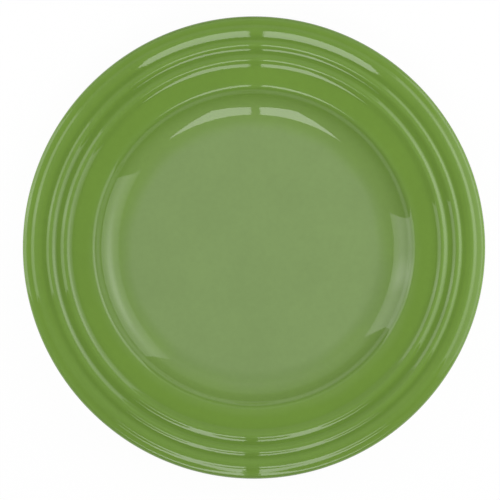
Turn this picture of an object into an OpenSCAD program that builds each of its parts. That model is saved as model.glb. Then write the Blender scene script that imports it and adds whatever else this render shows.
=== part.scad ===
// Rimmed dinner plate: a stoneware body with a foot ring, and the glass coats fired on to it.
// Millimetres, +Z up. The origin is on the table, under the centre of the plate.

/* [Plate] */
// Diameter over the glazed edge
plate_d = 270; // [230:1:320]
// Thickness of the clay floor
floor_t = 5; // [4:0.1:8]
// Thickness of the clay wall round the well
wall_t = 4.6; // [3.6:0.1:6]
// Thickness of the clay at the lip
lip_t = 4.2; // [4:0.1:6]

/* [Well] */
// Height from the well floor to the shoulder, where wall and rim meet
well_depth = 10.8; // [8:0.1:18]
// Slope of the well's wall, in degrees
wall_angle = 46; // [30:1:50]
// Radius of the cove between the floor and the wall
cove_r = 23.7; // [12:0.1:30]
// Rounding of the shoulder
shoulder_r = 4.2; // [2:0.1:8]

/* [Rim] */
// Width of the plain band between the shoulder and the first ring
band_w = 13.1; // [6:0.1:20]
// Rise of the plain band, in degrees
band_angle = 11; // [4:1:16]
// Width of the lip outside the last ring
lip_w = 5.2; // [3.6:0.05:7]
// Slope of the lip in degrees, below zero where it falls towards the edge
lip_angle = -6; // [-12:1:8]
// Rounding of the lip's upper edge
lip_edge_r = 2.65; // [0.8:0.05:3]
// Rounding of the lip's lower edge
lip_under_r = 1.6; // [0.6:0.05:2.2]

/* [Inner rings] */
// Number of narrow raised rings inside the broad outer one
ring_count = 2; // [1:1:3]
// Distance from one narrow ring's crest to the next
ring_pitch = 8.6; // [7.4:0.1:10]
// Width of the first ring's inward slope
first_ring_run = 2.85; // [2:0.05:4]
// Width of the next rings' inward slopes
ring_run = 4.1; // [3:0.05:5]
// Steepness of the narrow rings' inward slopes, in degrees
ring_inward = 33.5; // [20:0.5:50]
// Rounding of the narrow rings' crests
crest_r = 2.85; // [0.8:0.05:4]
// Rounding of the grooves between the rings
groove_r = 5.3; // [1.2:0.1:7]
// Rounding of the groove where the first ring leaves the band
first_groove_r = 10; // [1.2:0.1:14]

/* [Outer ring] */
// Distance from the last narrow ring's crest to the broad ring's crest
outer_pitch = 8.8; // [7.8:0.1:11]
// Width of the broad ring's inward slope
outer_run = 5.65; // [4:0.05:7]
// Width of the broad ring's outward slope
outer_fall_w = 2.15; // [1.6:0.05:4]
// Steepness of the broad ring's inward slope, in degrees
outer_inward = 18.5; // [10:0.5:30]
// Rounding of the broad ring's crest
outer_crest_r = 4; // [1.2:0.1:5]
// Rounding of the narrow valley in front of the broad ring
valley_r = 4.4; // [0.8:0.1:6]
// Rounding of the groove where the broad ring runs into the lip
lip_groove_r = 5.7; // [1.2:0.1:8]
// Steepness of every ring's outward slope, in degrees
ring_outward = 21; // [10:1:28]

/* [Foot ring] */
// Height of the foot ring's outer flank
foot_h = 3.2; // [2.4:0.1:6]
// Width of the foot ring at the table
foot_w = 5; // [4:0.1:8]
// Depth of the recess inside the foot ring
recess_h = 2.6; // [2.2:0.1:5]
// Lean of both flanks, in degrees
foot_draft = 12; // [0:1:20]
// Rounding of the foot ring's two lower edges
foot_edge_r = 1.1; // [0.4:0.1:1.4]
// Rounding where the flanks meet the underside
foot_root_r = 1.3; // [0.6:0.1:1.8]

/* [Glaze] */
// Thickness of the glass coat
glaze_t = 0.35; // [0.2:0.05:0.8]
// Height above the table at which the coat is wiped off the foot ring
wipe_h = 1.4; // [0.8:0.1:1.8]

/* [Hidden] */
// Largest turn between two points of a rounded corner, in degrees
arc_step = 7;
// Largest share of a side that the roundings at its two ends may use
longest_share = 0.97;
// Segments of a full turn
turn_segments = 192;

clay_r = plate_d / 2 - glaze_t;
floor_z = recess_h + floor_t;

// Crests and grooves by their distance from the axis, from the lip inwards
lip_groove_at = clay_r - lip_w;
outer_crest_at = lip_groove_at - outer_fall_w;
valley_at = outer_crest_at - outer_run;
last_crest_at = outer_crest_at - outer_pitch;
function crest_at(i) = last_crest_at - (ring_count - 1 - i) * ring_pitch;
function run(i) = i == 0 ? first_ring_run : ring_run;
function groove_at(i) = i == ring_count ? valley_at : crest_at(i) - run(i);

band_end_at = groove_at(0);
shoulder_at = band_end_at - band_w;
shoulder_z = floor_z + well_depth;
band_end_z = shoulder_z + band_w * tan(band_angle);

// Their heights, from the band outwards
function crest_z(i) = groove_z(i) + run(i) * tan(ring_inward);
function groove_z(i) =
    i == 0 ? band_end_z : crest_z(i - 1) - (groove_at(i) - crest_at(i - 1)) * tan(ring_outward);
outer_crest_z = groove_z(ring_count) + outer_run * tan(outer_inward);
lip_groove_z = outer_crest_z - outer_fall_w * tan(ring_outward);
lip_z = lip_groove_z + lip_w * tan(lip_angle);

// The shoulder's corner on the underside, one wall thickness away from wall and band alike
shoulder_bend = wall_angle - band_angle;
shoulder_lean = (wall_angle + band_angle) / 2;
under_reach = wall_t / cos(shoulder_bend / 2);
under_at = shoulder_at + under_reach * sin(shoulder_lean);
under_z = shoulder_z - under_reach * cos(shoulder_lean);
// The foot ring hangs from the wall's underside, where that comes down to the flank's height
foot_top_at = under_at - (under_z - foot_h) / tan(wall_angle);
foot_out_at = foot_top_at - foot_h * tan(foot_draft);
foot_in_at = foot_out_at - foot_w;
recess_at = foot_in_at - recess_h * tan(foot_draft);

// Corners of the clay's half section as [distance from the axis, height, rounding]
face_corners = [
    [0, floor_z, 0],
    [shoulder_at - well_depth / tan(wall_angle), floor_z, cove_r],
    [shoulder_at, shoulder_z, shoulder_r]
];
ring_corners = [
    for (i = [0 : ring_count - 1])
        each [
            [groove_at(i), groove_z(i), i == 0 ? first_groove_r : groove_r],
            [crest_at(i), crest_z(i), crest_r]
        ]
];
outer_ring_corners = [
    [valley_at, groove_z(ring_count), valley_r],
    [outer_crest_at, outer_crest_z, outer_crest_r],
    [lip_groove_at, lip_groove_z, lip_groove_r]
];
lip_corners = [
    [clay_r, lip_z, lip_edge_r],
    [clay_r, lip_z - lip_t, lip_under_r]
];
under_corners = [
    [under_at, under_z, shoulder_r + wall_t],
    [foot_top_at, foot_h, foot_root_r],
    [foot_out_at, 0, foot_edge_r],
    [foot_in_at, 0, foot_edge_r],
    [recess_at, recess_h, foot_root_r],
    [0, recess_h, 0]
];

function unit(v) = v / norm(v);
function left_of(v) = [-v.y, v.x];
function turned_by(v, angle) = v.x * [cos(angle), sin(angle)] + v.y * [-sin(angle), cos(angle)];
function flat(corner) = [corner.x, corner.y];

function turn_between(a, b, c) =
    let (arriving = unit(b - a), leaving = unit(c - b))
    atan2(cross(arriving, leaving), arriving * leaving);

// Length that a corner's rounding takes from each of its two sides
function reach(corners, i) =
    i == 0 || i == len(corners) - 1
        ? 0
        : corners[i][2] * tan(abs(turn_between(flat(corners[i - 1]), flat(corners[i]), flat(corners[i + 1]))) / 2);

// How far the roundings at both ends of side i are shortened so that they fit on it
function fit(corners, i) =
    let (side = norm(flat(corners[i + 1]) - flat(corners[i])) * longest_share)
    min(1, side / max(side / 2, reach(corners, i) + reach(corners, i + 1)));

// Points of the arc that rounds corner b, on the way from a to c
function rounded(a, b, c, radius) =
    let (
        arriving = unit(b - a),
        turn = turn_between(a, b, c),
        spoke = left_of(arriving) * radius * sign(turn),
        start = b - arriving * radius * tan(abs(turn) / 2),
        steps = ceil(abs(turn) / arc_step)
    )
    [for (i = [0 : steps]) start + spoke - turned_by(spoke, turn * i / steps)];

// A line through the corners, with every corner but the two ends rounded
function outline(corners) =
    let (last = len(corners) - 1)
    [
        flat(corners[0]),
        for (i = [1 : last - 1])
            each rounded(
                flat(corners[i - 1]), flat(corners[i]), flat(corners[i + 1]),
                corners[i][2] * min(fit(corners, i - 1), fit(corners, i))
            ),
        flat(corners[last])
    ];

// The same line moved to its left by t, which is outwards for the clay's outline
function moved_out(line, t) =
    let (last = len(line) - 1)
    [
        for (i = [0 : last])
            let (
                before = left_of(unit(line[max(i, 1)] - line[max(i, 1) - 1])),
                after = left_of(unit(line[min(i, last - 1) + 1] - line[min(i, last - 1)])),
                outwards = unit(before + after)
            )
            line[i] + outwards * t / (outwards * before)
    ];

function reversed(list) = [for (i = [len(list) - 1 : -1 : 0]) list[i]];
function at_height(p, q, h) = p + (q - p) * (h - p.y) / (q.y - p.y);

clay = outline(concat(face_corners, ring_corners, outer_ring_corners, lip_corners, under_corners));

// The bare foot is the stretch of the outline that lies below the wipe height
below = [for (i = [0 : len(clay) - 1]) if (clay[i].y < wipe_h) i];
foot_first = below[0];
foot_last = below[len(below) - 1];
under_face_glaze = [
    for (i = [0 : foot_first - 1]) clay[i],
    at_height(clay[foot_first - 1], clay[foot_first], wipe_h)
];
under_base_glaze = [
    at_height(clay[foot_last], clay[foot_last + 1], wipe_h),
    for (i = [foot_last + 1 : len(clay) - 1]) clay[i]
];

module spun(section) {
    rotate_extrude($fn = turn_segments) polygon(section);
}

module coat(line) {
    spun(concat(line, reversed(moved_out(line, glaze_t))));
}

module stoneware_body() {
    color([0.80, 0.70, 0.55]) spun(clay);
}

module face_glaze() {
    color([0.46, 0.58, 0.28]) coat(under_face_glaze);
}

module base_glaze() {
    color([0.46, 0.58, 0.28]) coat(under_base_glaze);
}

stoneware_body();
face_glaze();
base_glaze();
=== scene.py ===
import math

import bpy
from mathutils import Matrix, Vector


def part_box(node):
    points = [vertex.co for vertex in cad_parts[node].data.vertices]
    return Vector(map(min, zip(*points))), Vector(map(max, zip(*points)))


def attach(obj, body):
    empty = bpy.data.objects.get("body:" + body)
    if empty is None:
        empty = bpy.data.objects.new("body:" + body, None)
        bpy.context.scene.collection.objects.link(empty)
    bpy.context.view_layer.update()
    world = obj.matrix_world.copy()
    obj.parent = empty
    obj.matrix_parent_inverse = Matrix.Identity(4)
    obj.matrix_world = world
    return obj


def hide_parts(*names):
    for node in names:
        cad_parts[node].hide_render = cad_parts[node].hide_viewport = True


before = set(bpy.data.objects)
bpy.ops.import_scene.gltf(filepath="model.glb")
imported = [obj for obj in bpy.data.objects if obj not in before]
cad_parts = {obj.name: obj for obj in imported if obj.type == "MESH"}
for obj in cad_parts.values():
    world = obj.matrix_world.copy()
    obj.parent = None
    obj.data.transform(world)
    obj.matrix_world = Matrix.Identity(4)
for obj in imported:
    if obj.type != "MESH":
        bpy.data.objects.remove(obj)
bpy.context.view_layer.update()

MM = 0.001


# ---------------------------------------------------------------- sizes of the plate, in metres and degrees

class Size:
    """The driving sizes of the plate, the same ones that its solids are made from."""
    plate_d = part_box("face_glaze")[1].x * 2
    floor_t = 5 * MM
    wall_t = 4.6 * MM
    lip_t = 4.2 * MM
    well_depth = 10.8 * MM
    wall_angle = 46
    cove_r = 23.7 * MM
    shoulder_r = 4.2 * MM
    band_w = 13.1 * MM
    band_angle = 11
    lip_w = 5.2 * MM
    lip_angle = -6
    lip_edge_r = 2.65 * MM
    lip_under_r = 1.6 * MM
    ring_count = 2
    ring_pitch = 8.6 * MM
    first_ring_run = 2.85 * MM
    ring_run = 4.1 * MM
    ring_inward = 33.5
    crest_r = 2.85 * MM
    groove_r = 5.3 * MM
    first_groove_r = 10 * MM
    outer_pitch = 8.8 * MM
    outer_run = 5.65 * MM
    outer_fall_w = 2.15 * MM
    outer_inward = 18.5
    outer_crest_r = 4 * MM
    valley_r = 4.4 * MM
    lip_groove_r = 5.7 * MM
    ring_outward = 21
    foot_h = 3.2 * MM
    foot_w = 5 * MM
    recess_h = 2.6 * MM
    foot_draft = 12
    foot_edge_r = 1.1 * MM
    foot_root_r = 1.3 * MM
    glaze_t = 0.35 * MM
    wipe_h = 1.4 * MM
    longest_share = 0.97    # of a side, for the roundings at its two ends


# Degrees between two points of a rounding, and the longest step along a straight side
FINE_ARC, FINE_STEP = 3.5, 1.5 * MM             # on the glass that shows
HIDDEN_ARC = 10.0                               # on the side of a coat that lies on the clay
BODY_ARC, BODY_STEP = 6.0, 8 * MM               # on the clay under the glass
FOOT_ARC, FOOT_STEP = FINE_ARC / 2, 0.5 * MM    # on the bare foot
BEAD_ARC = 30                                   # round the beaded edge of a coat
TURN_SEGMENTS = 256
MERGE_DISTANCE = 0.001 * MM

FLOW = 1.2 * MM         # how far the melting glaze runs, and the painted groove shade spreads, on either side of a bend
FULL_BEND = 250.0       # radians per metre at which the glaze is thinnest on a crest, or deepest in a groove with its painted shade darkest
RIPPLE_HEIGHT = 0.05 * MM
RIPPLE_LENGTH = 18 * MM

RINGS_Z = 22.7 * MM     # level of the rings' crests
CAMERA_HEIGHT = 1.2     # above the rings
FRAME_WIDTH = 291.4 * MM                    # what the frame takes in across, at the rings
FRAME_CENTRE = (-2.32 * MM, -1.43 * MM)     # what lies in its middle


# ---------------------------------------------------------------- the half section

def slope(degrees):
    return math.tan(math.radians(degrees))


def left_of(v):
    """v turned left by a right angle, which is outwards for the clay's outline."""
    return Vector((-v.y, v.x))


def turned_by(v, angle):
    """v turned left by an angle in radians."""
    return Vector((v.x * math.cos(angle) - v.y * math.sin(angle), v.x * math.sin(angle) + v.y * math.cos(angle)))


def ring_corners(s, clay_r):
    """Corners of the rings, from the end of the plain band to the lip's groove. Their heights start at the band's
    end."""
    lip_groove = clay_r - s.lip_w
    outer_crest = lip_groove - s.outer_fall_w
    valley = outer_crest - s.outer_run
    crests = [outer_crest - s.outer_pitch - left * s.ring_pitch for left in reversed(range(s.ring_count))]
    runs = [s.ring_run if ring else s.first_ring_run for ring in range(s.ring_count)]
    grooves = [crest - run for crest, run in zip(crests, runs)] + [valley]
    corners = []
    height = 0.0
    for ring, crest in enumerate(crests):
        corners.append((grooves[ring], height, s.groove_r if ring else s.first_groove_r))
        height += runs[ring] * slope(s.ring_inward)
        corners.append((crest, height, s.crest_r))
        height -= (grooves[ring + 1] - crest) * slope(s.ring_outward)
    corners.append((valley, height, s.valley_r))
    height += s.outer_run * slope(s.outer_inward)
    corners.append((outer_crest, height, s.outer_crest_r))
    height -= s.outer_fall_w * slope(s.ring_outward)
    corners.append((lip_groove, height, s.lip_groove_r))
    return corners


def clay_corners(s):
    """Corners of the clay's half section: distance from the axis, height, rounding."""
    clay_r = s.plate_d / 2 - s.glaze_t
    floor_z = s.recess_h + s.floor_t
    rings = ring_corners(s, clay_r)
    shoulder_at = rings[0][0] - s.band_w
    shoulder_z = floor_z + s.well_depth
    band_end_z = shoulder_z + s.band_w * slope(s.band_angle)
    rings = [(r, z + band_end_z, rounding) for r, z, rounding in rings]
    lip_z = rings[-1][1] + s.lip_w * slope(s.lip_angle)

    lean = math.radians(s.wall_angle + s.band_angle) / 2
    reach = s.wall_t / math.cos(math.radians(s.wall_angle - s.band_angle) / 2)
    under_at = shoulder_at + reach * math.sin(lean)
    under_z = shoulder_z - reach * math.cos(lean)
    foot_top_at = under_at - (under_z - s.foot_h) / slope(s.wall_angle)
    foot_out_at = foot_top_at - s.foot_h * slope(s.foot_draft)
    foot_in_at = foot_out_at - s.foot_w
    recess_at = foot_in_at - s.recess_h * slope(s.foot_draft)

    return shortened([
        (0, floor_z, 0),
        (shoulder_at - s.well_depth / slope(s.wall_angle), floor_z, s.cove_r),
        (shoulder_at, shoulder_z, s.shoulder_r),
        *rings,
        (clay_r, lip_z, s.lip_edge_r),
        (clay_r, lip_z - s.lip_t, s.lip_under_r),
        (under_at, under_z, s.shoulder_r + s.wall_t),
        (foot_top_at, s.foot_h, s.foot_root_r),
        (foot_out_at, 0, s.foot_edge_r),
        (foot_in_at, 0, s.foot_edge_r),
        (recess_at, s.recess_h, s.foot_root_r),
        (0, s.recess_h, 0),
    ], s.longest_share)


def shortened(corners, longest_share):
    """The corners with their roundings shortened to fit on the sides between them."""
    points = [Vector((r, z)) for r, z, _ in corners]
    sides = [after - before for before, after in zip(points, points[1:])]
    turns = [0, *(before.angle(after) for before, after in zip(sides, sides[1:])), 0]
    reaches = [rounding * math.tan(turn / 2) for (_, _, rounding), turn in zip(corners, turns)]
    fits = [min(1, side.length * longest_share / max(side.length / 2, start + end))
            for side, start, end in zip(sides, reaches, reaches[1:])]
    return [(r, z, rounding * min(before, after))
            for (r, z, rounding), before, after in zip(corners, [1, *fits], [*fits, 1])]


def rounded_line(corners, arc_step, longest=None):
    """The line through the corners with each one rounded, as (point, outward direction)."""
    line = []

    def add(point, direction):
        if longest and line:
            start = line[-1][0]
            parts = max(1, math.ceil((point - start).length / longest))
            line.extend([(start.lerp(point, part / parts), direction) for part in range(1, parts)])
        line.append((point, direction))

    points = [Vector((r, z)) for r, z, _ in corners]
    add(points[0], left_of((points[1] - points[0]).normalized()))
    for before, here, after, (_, _, radius) in zip(points, points[1:], points[2:], corners[1:]):
        arriving = (here - before).normalized()
        leaving = (after - here).normalized()
        turn = math.atan2(arriving.cross(leaving), arriving.dot(leaving))
        spoke = left_of(arriving) * math.copysign(radius, turn)
        start = here - arriving * radius * math.tan(abs(turn) / 2)
        steps = math.ceil(abs(math.degrees(turn)) / arc_step)
        for step in range(steps + 1):
            angle = turn * step / steps
            add(start + spoke - turned_by(spoke, angle), left_of(turned_by(arriving, angle)))
    add(points[-1], left_of((points[-1] - points[-2]).normalized()))
    return line


def cut_at_wipe(line, s, inside):
    """The stretch of the line that carries glaze: up to the wiped foot, or from it on to the axis."""
    low = [i for i, (point, _) in enumerate(line) if point.y < s.wipe_h]
    bare = low[-1] if inside else low[0]
    end = bare + 1 if inside else bare - 1
    (p, direction), (q, _) = line[end], line[bare]
    edge = (p.lerp(q, (p.y - s.wipe_h) / (p.y - q.y)), direction)
    return [edge, *line[end:]] if inside else [*line[:bare], edge]


def soaked_bends(line):
    """The bend of the line at each of its points, in radians per metre, evened out over FLOW on either side."""
    along = [0.0]
    for (before, _), (here, _) in zip(line, line[1:]):
        along.append(along[-1] + (here - before).length)
    turns = [(place, before.angle_signed(here))
             for place, (_, before), (_, here) in zip(along[1:], line, line[1:])]
    weight = lambda distance: math.exp(-0.5 * (distance / FLOW) ** 2) / (FLOW * math.sqrt(math.tau))
    return [-sum(turn * weight(place - at) for at, turn in turns) for place in along]


def coat_section(s, inside):
    """Section of a coat: out over the glass, round its beaded edge and back along the clay. Its rows are (r, z, pool
    and shade, skin): the third runs from -1, where the glaze has run thin over a crest, to 1, where it lies deep in
    a groove and the groove's shade is painted darkest; skin is 1 on the glass and 0 against the clay."""
    corners = clay_corners(s)
    outer = cut_at_wipe(rounded_line(corners, FINE_ARC, FINE_STEP), s, inside)
    inner = cut_at_wipe(rounded_line(corners, HIDDEN_ARC), s, inside)
    skin = [(p + out * s.glaze_t, max(-1.0, min(1.0, bend / FULL_BEND)))
            for (p, out), bend in zip(outer, soaked_bends(outer))]
    edge, out = outer[0] if inside else outer[-1]
    along = left_of(out) * (1 if inside else -1)
    half = s.glaze_t / 2
    bead = [(edge + out * half + (out * math.cos(a) + along * math.sin(a)) * half, 0.0)
            for a in map(math.radians, range(BEAD_ARC, 180, BEAD_ARC))]
    skin = [*reversed(bead), *skin] if inside else [*skin, *bead]
    back = [(p.x, p.y, 0.0, 0.0) for p, _ in reversed(inner)]
    return [*((p.x, p.y, pooled_and_shaded, 1.0) for p, pooled_and_shaded in skin), *back]


def clay_section(s):
    """Section of the clay body, fine round the bare foot and coarse under the glass."""
    corners = clay_corners(s)
    coarse = rounded_line(corners, BODY_ARC, BODY_STEP)
    fine = rounded_line(corners, FOOT_ARC, FOOT_STEP)
    at_foot = lambda point: point.y < s.foot_h and point.x > s.plate_d / 4
    left_out = [i for i, (point, _) in enumerate(coarse) if at_foot(point)]
    foot = [row for row in fine if at_foot(row[0])]
    line = [*coarse[:left_out[0]], *foot, *coarse[left_out[-1] + 1:]]
    return [(p.x, p.y, 0.0, 1.0) for p, _ in line]


# ---------------------------------------------------------------- spinning a section into a piece

class Tree:
    """A few short words for wiring nodes."""

    def __init__(self, tree):
        self.tree = tree

    def node(self, kind, inputs=None, **settings):
        made = self.tree.nodes.new(kind)
        for name, value in settings.items():
            setattr(made, name, value)
        for name, value in (inputs or {}).items():
            socket = made.inputs[name]
            if isinstance(value, bpy.types.NodeSocket):
                self.tree.links.new(value, socket)
            else:
                socket.default_value = value
        return made

    def math(self, operation, a, b=None):
        inputs = {0: a} if b is None else {0: a, 1: b}
        return self.node("ShaderNodeMath", inputs, operation=operation).outputs[0]


def spinning_tree():
    """Spins the section held by the object's own mesh round the Z axis, as a closed and smooth surface."""
    group = bpy.data.node_groups.new("spun_on_the_wheel", "GeometryNodeTree")
    face = group.interface
    face.new_socket("Section", in_out="INPUT", socket_type="NodeSocketGeometry")
    for name, kind in (("Section Points", "Int"), ("Turn Segments", "Int"), ("Ripple Height", "Float"),
                       ("Ripple Length", "Float"), ("Merge Distance", "Float"), ("Finish", "Material")):
        face.new_socket(name, in_out="INPUT", socket_type="NodeSocket" + kind)
    face.new_socket("Surface", in_out="OUTPUT", socket_type="NodeSocketGeometry")
    t = Tree(group)
    given = t.node("NodeGroupInput").outputs

    columns = t.math("ADD", given["Turn Segments"], 1.0)
    grid = t.node("GeometryNodeMeshGrid", {"Size X": 1.0, "Size Y": 1.0, "Vertices X": given["Section Points"],
                                           "Vertices Y": columns})
    index = t.node("GeometryNodeInputIndex").outputs[0]
    row = t.math("FLOOR", t.math("DIVIDE", t.math("ADD", index, 0.5), columns))
    column = t.math("SUBTRACT", index, t.math("MULTIPLY", row, columns))
    angle = t.math("MULTIPLY", t.math("DIVIDE", column, given["Turn Segments"]), math.tau)

    def of_section(kind, value):
        return t.node("GeometryNodeSampleIndex", {"Geometry": given["Section"], "Value": value, "Index": row},
                      data_type=kind, domain="POINT").outputs["Value"]

    def stored(name):
        return t.node("GeometryNodeInputNamedAttribute", {"Name": name}, data_type="FLOAT").outputs["Attribute"]

    place = t.node("ShaderNodeSeparateXYZ",
                   {0: of_section("FLOAT_VECTOR", t.node("GeometryNodeInputPosition").outputs[0])}).outputs
    turned = t.node("ShaderNodeCombineXYZ", {
        "X": t.math("MULTIPLY", place["X"], t.math("COSINE", angle)),
        "Y": t.math("MULTIPLY", place["X"], t.math("SINE", angle)),
        "Z": place["Z"]}).outputs[0]
    shape = t.node("GeometryNodeSetPosition", {"Geometry": grid.outputs["Mesh"], "Position": turned}).outputs[0]
    for name in ("pooled_and_shaded", "skin"):
        shape = t.node("GeometryNodeStoreNamedAttribute",
                       {"Geometry": shape, "Name": name, "Value": of_section("FLOAT", stored(name))},
                       data_type="FLOAT", domain="POINT").outputs[0]
    shape = t.node("GeometryNodeMergeByDistance",
                   {"Geometry": shape, "Distance": given["Merge Distance"]}).outputs[0]

    # The ripple only ever dips below the section, so the piece stays inside its solid's box
    lumps = t.node("ShaderNodeTexNoise", {"Scale": t.math("DIVIDE", 1.0, given["Ripple Length"]), "Detail": 1.0},
                   noise_dimensions="3D").outputs[0]
    dip = t.math("MULTIPLY", t.math("MULTIPLY", t.math("MINIMUM", lumps, 1.0), stored("skin")),
                 given["Ripple Height"])
    normal = t.node("GeometryNodeInputNormal").outputs[0]
    offset = t.node("ShaderNodeVectorMath", {0: normal, "Scale": t.math("MULTIPLY", dip, -1.0)},
                    operation="SCALE").outputs[0]
    shape = t.node("GeometryNodeSetPosition", {"Geometry": shape, "Offset": offset}).outputs[0]
    shape = t.node("GeometryNodeSetShadeSmooth", {"Geometry": shape}).outputs[0]
    shape = t.node("GeometryNodeRealizeInstances", {"Geometry": shape}).outputs[0]
    shape = t.node("GeometryNodeSetMaterial", {"Geometry": shape, "Material": given["Finish"]}).outputs[0]
    group.links.new(shape, t.node("NodeGroupOutput").inputs[0])
    return group


def spun_piece(name, tree, section, finish, ripple_height):
    """One piece of the plate: its section, given to the spinning tree, and the result kept as a plain mesh."""
    line = bpy.data.meshes.new(name + "_section")
    line.from_pydata([(r, 0, z) for r, z, _, _ in section], [(i, i + 1) for i in range(len(section) - 1)], [])
    for attribute, column in (("pooled_and_shaded", 2), ("skin", 3)):
        stored = line.attributes.new(attribute, "FLOAT", "POINT")
        stored.data.foreach_set("value", [row[column] for row in section])
    maker = bpy.data.objects.new(name + "_maker", line)
    bpy.context.collection.objects.link(maker)
    spin = maker.modifiers.new("Spin", "NODES")
    spin.node_group = tree
    values = {"Section Points": len(section), "Turn Segments": TURN_SEGMENTS, "Ripple Height": ripple_height,
              "Ripple Length": RIPPLE_LENGTH, "Merge Distance": MERGE_DISTANCE, "Finish": finish}
    for socket in tree.interface.items_tree:
        if socket.in_out == "INPUT" and socket.name in values:
            spin[socket.identifier] = values[socket.name]
    made = bpy.data.meshes.new_from_object(maker.evaluated_get(bpy.context.evaluated_depsgraph_get()))
    made.name = name
    bpy.data.objects.remove(maker)
    piece = bpy.data.objects.new(name, made)
    bpy.context.collection.objects.link(piece)
    return piece


# ---------------------------------------------------------------- finishes

RIM_GREEN = (0.148, 0.270, 0.034)
# The well's green: milky glaze with a painted reflection of the overhead glow laid in
WELL_MILK_AND_REFLECTION_GREEN = (0.209, 0.313, 0.109)
# Painted light: the lighter green of the cove wall, where the wall catches more light
COVE_LIT_GREEN = (0.197, 0.319, 0.073)
THIN_GREEN = (0.157, 0.280, 0.045)
# Groove green: deeper pooled glaze together with the grooves' painted shade
DEEP_AND_SHADED_GREEN = (0.112, 0.213, 0.024)
# Middle of the well's pale tone of milky glaze and painted reflection, set a little towards the front
MILK_AND_REFLECTION_CENTRE = (0.5 * MM, -3.5 * MM, 0)
MILK_AND_REFLECTION_ENDS = (71 * MM, 98 * MM)      # from the last of the full milky tone with its painted reflection to the first of the rim's own green
# How strongly the painted light of the cove band shows
COVE_LIGHT_SHARE = 0.8

BUFF_CLAY, PALE_CLAY = (0.53, 0.40, 0.24), (0.62, 0.49, 0.31)
SAND, SPECK, TOAST = (0.70, 0.58, 0.40), (0.20, 0.12, 0.07), (0.36, 0.20, 0.09)
TABLE_PAPER = 0.95
TABLE_WHITE = 0.965     # share of plain white in what the table shows


def new_material(name, preview):
    """An empty material, and the tree to wire it in."""
    material = bpy.data.materials.new(name)
    material.use_nodes = True
    material.diffuse_color = (*preview, 1)
    material.node_tree.nodes.clear()
    return material, Tree(material.node_tree)


def surface(t, shader):
    """Makes shader what the material shows."""
    t.node("ShaderNodeOutputMaterial", {"Surface": shader.outputs[0]})


def blend_colour(t, amount, low, high):
    colour = lambda value: (*value, 1) if isinstance(value, tuple) else value
    return t.node("ShaderNodeMix", {0: amount, 6: colour(low), 7: colour(high)},
                  data_type="RGBA", clamp_factor=True).outputs[2]


def spread(t, value, low, high, start=0.0, end=1.0, smooth=False):
    """value's stretch from low to high, laid over start to end."""
    kind = "SMOOTHSTEP" if smooth else "LINEAR"
    return t.node("ShaderNodeMapRange", {"Value": value, "From Min": low, "From Max": high,
                                         "To Min": start, "To Max": end}, interpolation_type=kind).outputs[0]


def noise(t, place, grain, detail, seed):
    """Even noise whose lumps are about grain metres across."""
    return t.node("ShaderNodeTexNoise", {"Vector": place, "W": seed, "Scale": 1 / grain, "Detail": detail},
                  noise_dimensions="4D").outputs[0]


def distance_from_upright(t, centre):
    """Distance from the upright line through centre."""
    place = t.node("ShaderNodeTexCoord").outputs["Object"]
    moved = t.node("ShaderNodeMapping", {"Vector": place, "Location": [-c for c in centre],
                                         "Scale": (1, 1, 0)}).outputs[0]
    return t.node("ShaderNodeVectorMath", {0: moved}, operation="LENGTH").outputs["Value"]


def bumps(t, height, strength, distance):
    return t.node("ShaderNodeBump", {"Height": height, "Strength": strength, "Distance": distance}).outputs[0]


def green_glaze():
    """Glossy green glass over clay: milky in the well, with a painted reflection of the overhead glow laid into that
    pale tone, a painted lighter band up the cove where the wall catches more light, thin and lighter on the crests,
    and darker in the grooves, where glaze pools and their shade is painted in."""
    material, t = new_material("leaf_green_glaze", RIM_GREEN)
    place = t.node("ShaderNodeTexCoord").outputs["Object"]
    clouds = noise(t, place, 26 * MM, 2.0, 1.0)
    mottle = noise(t, place, 3 * MM, 3.0, 2.0)
    patches = noise(t, place, 9 * MM, 2.0, 3.0)
    peel = noise(t, place, 1.6 * MM, 1.0, 4.0)

    # The well's milky tone with its painted reflection of the overhead glow, fading out up the cove
    reach = distance_from_upright(t, MILK_AND_REFLECTION_CENTRE)
    reach = t.math("ADD", reach, spread(t, clouds, 0.3, 0.7, -1.5 * MM, 1.5 * MM))
    milk_and_reflection = spread(t, reach, *MILK_AND_REFLECTION_ENDS, 1.0, 0.0, smooth=True)
    colour = blend_colour(t, milk_and_reflection, RIM_GREEN, WELL_MILK_AND_REFLECTION_GREEN)
    # Painted light: a lighter, greener band on the cove wall, where it catches more light
    cove_light_band = t.math("MULTIPLY", t.math("MULTIPLY", milk_and_reflection, t.math("SUBTRACT", 1.0, milk_and_reflection)), 4.0)
    colour = blend_colour(t, t.math("MULTIPLY", cove_light_band, COVE_LIGHT_SHARE), colour, COVE_LIT_GREEN)

    # Lighter where the glaze runs thin on the crests; darker in the grooves, where glaze pools and their shade is
    # painted in
    pooled_and_shaded = t.node("ShaderNodeAttribute", attribute_name="pooled_and_shaded").outputs["Fac"]
    colour = blend_colour(t, spread(t, pooled_and_shaded, 0.0, -1.0), colour, THIN_GREEN)
    colour = blend_colour(t, spread(t, pooled_and_shaded, 0.0, 1.0), colour, DEEP_AND_SHADED_GREEN)
    shade = t.math("MULTIPLY", spread(t, clouds, 0.25, 0.75, 0.97, 1.03),
                   spread(t, mottle, 0.25, 0.75, 0.975, 1.025))

    surface(t, t.node("ShaderNodeBsdfPrincipled", {
        "Base Color": t.node("ShaderNodeVectorMath", {0: colour, "Scale": shade}, operation="SCALE").outputs[0],
        "Roughness": spread(t, patches, 0.3, 0.7, 0.02, 0.04),
        "IOR": 1.5,
        "Normal": bumps(t, peel, 0.02, 0.2 * MM)}))
    return material


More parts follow.
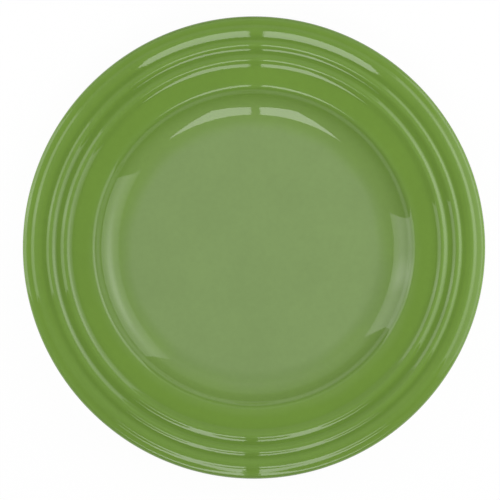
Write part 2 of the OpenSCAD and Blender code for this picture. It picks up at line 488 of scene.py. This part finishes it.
def bare_stoneware():
    """Fired buff clay with sand in it, sponged smooth on the foot, toasted where it meets the glass."""
    material, t = new_material("bare_stoneware", (0.58, 0.45, 0.28))
    place = t.node("ShaderNodeTexCoord").outputs["Object"]
    height = t.node("ShaderNodeSeparateXYZ", {0: place}).outputs["Z"]
    clouds = noise(t, place, 14 * MM, 3.0, 5.0)
    sand = noise(t, place, 0.7 * MM, 2.0, 6.0)
    specks = t.node("ShaderNodeTexVoronoi", {"Vector": place, "Scale": 1 / (1.3 * MM)}).outputs["Distance"]

    colour = blend_colour(t, spread(t, clouds, 0.3, 0.7), BUFF_CLAY, PALE_CLAY)
    colour = blend_colour(t, spread(t, sand, 0.45, 0.75, 0.0, 0.5), colour, SAND)
    colour = blend_colour(t, spread(t, specks, 0.16, 0.10, 0.0, 0.7), colour, SPECK)
    height = t.math("ADD", height, spread(t, clouds, 0.3, 0.7, -0.2 * MM, 0.2 * MM))
    toasted = spread(t, height, 0.7 * MM, 1.4 * MM, 0.0, 0.7, smooth=True)

    surface(t, t.node("ShaderNodeBsdfPrincipled", {
        "Base Color": blend_colour(t, toasted, colour, TOAST),
        "Roughness": spread(t, sand, 0.2, 0.8, 0.72, 0.92),
        "Normal": bumps(t, sand, 0.5, 0.12 * MM)}))
    return material


def pale_table():
    """The studio's white table: it shows as white, yet still takes the plate's soft shadow."""
    material, t = new_material("pale_table", [TABLE_PAPER] * 3)
    paper = t.node("ShaderNodeBsdfDiffuse", {"Color": [TABLE_PAPER] * 3 + [1]}).outputs[0]
    white = t.node("ShaderNodeEmission", {"Color": (1, 1, 1, 1), "Strength": 1.0}).outputs[0]
    ray = t.node("ShaderNodeLightPath").outputs
    seen = t.math("MAXIMUM", t.math("MAXIMUM", ray["Is Camera Ray"], ray["Is Glossy Ray"]),
                  ray["Is Transmission Ray"])
    share = t.math("MULTIPLY", seen, TABLE_WHITE)
    surface(t, t.node("ShaderNodeMixShader", {0: share, 1: paper, 2: white}))
    return material


# ---------------------------------------------------------------- studio

def box_of_light(name, place, along, back, length, width, brightness):
    """A flat box of light with its middle at place, shining away from back."""
    lamp = bpy.data.lights.new(name, "AREA")
    lamp.shape = "RECTANGLE"
    lamp.size, lamp.size_y = length, width
    lamp.energy = math.pi * length * width * brightness
    stand = bpy.data.objects.new(name, lamp)
    stand.location = place
    stand.rotation_euler = Matrix((along, back.cross(along), back)).transposed().to_euler()
    stand.visible_camera = False
    bpy.context.collection.objects.link(stand)
    return lamp


def strip_lamp(name, corner, far_corner, outer_corner, brightness):
    """A flat box of light, given by a corner and the corners at the two ends of the sides that meet there."""
    corner, far_corner, outer_corner = map(Vector, (corner, far_corner, outer_corner))
    lengthways, across = far_corner - corner, outer_corner - corner
    up = across.cross(lengthways).normalized()
    if up.z < 0:
        up = -up
    box_of_light(name, (far_corner + outer_corner) / 2, lengthways.normalized(), up,
                 lengthways.length, across.length, brightness)


def side_lamp(name, place, facing, lean, width, height, levels, hot_spot):
    """An upright box of light beside the table, whose top leans towards what it lights. levels holds its glow at
    the low end, at the height where it is brightest, and at the top; hot_spot the glow that its bulb adds."""
    lean = math.radians(lean)
    back = Vector((-facing[0] * math.cos(lean), -facing[1] * math.cos(lean), math.sin(lean))).normalized()
    side = Vector((0, 0, 1)).cross(back).normalized()
    lamp = box_of_light(name, place, side, back, width, height, 1.0)

    low, brightest_at, brightest, high = levels
    spot_at, spot_size, spot = hot_spot
    lamp.use_nodes = True
    lamp.node_tree.nodes.clear()
    t = Tree(lamp.node_tree)
    cloth = t.node("ShaderNodeNewGeometry").outputs["Parametric"]
    over = t.node("ShaderNodeSeparateXYZ", {0: cloth}).outputs["Y"]
    even = t.math("MINIMUM", spread(t, over, 0.0, brightest_at, low, brightest),
                  spread(t, over, brightest_at, 1.0, brightest, high))
    away = t.node("ShaderNodeMapping", {"Vector": cloth, "Location": (-spot_at[0], -spot_at[1], 0)}).outputs[0]
    away = t.node("ShaderNodeVectorMath", {0: away, 1: (1 / spot_size[0], 1 / spot_size[1], 0)},
                  operation="MULTIPLY").outputs[0]
    away = t.node("ShaderNodeVectorMath", {0: away}, operation="LENGTH").outputs["Value"]
    glow = t.math("ADD", even, spread(t, away, 0.0, 1.0, spot, 0.0, smooth=True))
    glow = t.node("ShaderNodeEmission", {"Strength": glow}).outputs[0]
    t.node("ShaderNodeOutputLight", {"Surface": glow})


def overhead_camera():
    """Looks straight down at the plate, which lies a little to the right of and above the middle of the frame."""
    lens = bpy.data.cameras.new("overhead_camera")
    lens.sensor_width = 36
    lens.lens = lens.sensor_width * CAMERA_HEIGHT / FRAME_WIDTH
    lens.clip_start, lens.clip_end = 0.01, 50
    camera = bpy.data.objects.new("overhead_camera", lens)
    camera.location = (*FRAME_CENTRE, RINGS_Z + CAMERA_HEIGHT)
    bpy.context.collection.objects.link(camera)
    bpy.context.scene.camera = camera


def studio_lamps():
    """Two long boxes hung in front of the table, and an upright one on either side of it."""
    strip_lamp("front_lamp_right", corner=(0.045, -1.50, 4.40), far_corner=(0.12, -4.60, 5.25),
               outer_corner=(1.44, -1.85, 3.50), brightness=3.7)
    strip_lamp("front_lamp_left", corner=(-0.07, -1.50, 4.35), far_corner=(-0.17, -4.55, 5.10),
               outer_corner=(-1.37, -1.74, 3.60), brightness=4.1)
    side_lamp("right_lamp", place=(0.362, 0.1005, 0.408), facing=(-1, 0), lean=9.7, width=0.631, height=0.671,
              levels=(1.1, 0.36, 1.8, 0.45), hot_spot=((0.50, 0.36), (0.42, 0.28), 1.4))
    side_lamp("left_lamp", place=(-0.424, 0.100, 0.262), facing=(1, 0), lean=15.3, width=0.386, height=0.52,
              levels=(1.3, 0.5, 1.95, 1.1), hot_spot=((0.55, 0.4), (0.2, 0.8), 1.3))


def studio_walls():
    """Dim walls that grow lighter towards the ceiling, with a bright skirting and a pale screen behind the table."""
    wall, ceiling, skirting, screen = 0.15, 0.33, 1.0, 0.35
    world = bpy.data.worlds.new("studio_walls")
    bpy.context.scene.world = world
    world.use_nodes = True
    world.node_tree.nodes.clear()
    t = Tree(world.node_tree)
    towards = t.node("ShaderNodeTexCoord").outputs["Generated"]
    parts = t.node("ShaderNodeSeparateXYZ", {0: towards}).outputs
    behind, up = parts["Y"], parts["Z"]
    level = t.math("MAXIMUM", spread(t, up, 0.09, 0.71, wall, ceiling),
                   spread(t, up, 0.04, 0.08, skirting, 0.0))
    on_screen = t.math("MULTIPLY", spread(t, behind, 0.10, 0.45, smooth=True),
                       t.math("MULTIPLY", spread(t, up, 0.38, 0.56, smooth=True),
                              spread(t, up, 0.93, 0.83, smooth=True)))
    level = t.math("ADD", level, t.math("MULTIPLY", on_screen, screen))
    glow = t.node("ShaderNodeBackground", {"Color": (1, 1, 1, 1), "Strength": level}).outputs[0]
    t.node("ShaderNodeOutputWorld", {"Surface": glow})


def studio_table():
    """A wide flat table top under the plate."""
    half = 12.0
    sheet = bpy.data.meshes.new("studio_table")
    sheet.from_pydata([(-half, -half, 0), (half, -half, 0), (half, half, 0), (-half, half, 0)], [], [(0, 1, 2, 3)])
    sheet.materials.append(pale_table())
    table = bpy.data.objects.new("studio_table", sheet)
    bpy.context.collection.objects.link(table)


# ---------------------------------------------------------------- the plate

glaze, clay = green_glaze(), bare_stoneware()
wheel = spinning_tree()
size = Size()

for name, section, finish, node, slot, ripple_height in (
    ("glazed_face", coat_section(size, inside=False), glaze, "face_glaze", "green_glaze", RIPPLE_HEIGHT),
    ("glazed_recess", coat_section(size, inside=True), glaze, "base_glaze", "green_glaze", RIPPLE_HEIGHT),
    ("clay_body", clay_section(size), clay, "stoneware_body", "bare_stoneware", 0.0),
):
    piece = spun_piece(name, wheel, section, finish, ripple_height)
    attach(piece, "root")
    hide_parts(node)

bpy.context.scene.view_settings.view_transform = "Standard"
overhead_camera()
studio_lamps()
studio_walls()
studio_table()
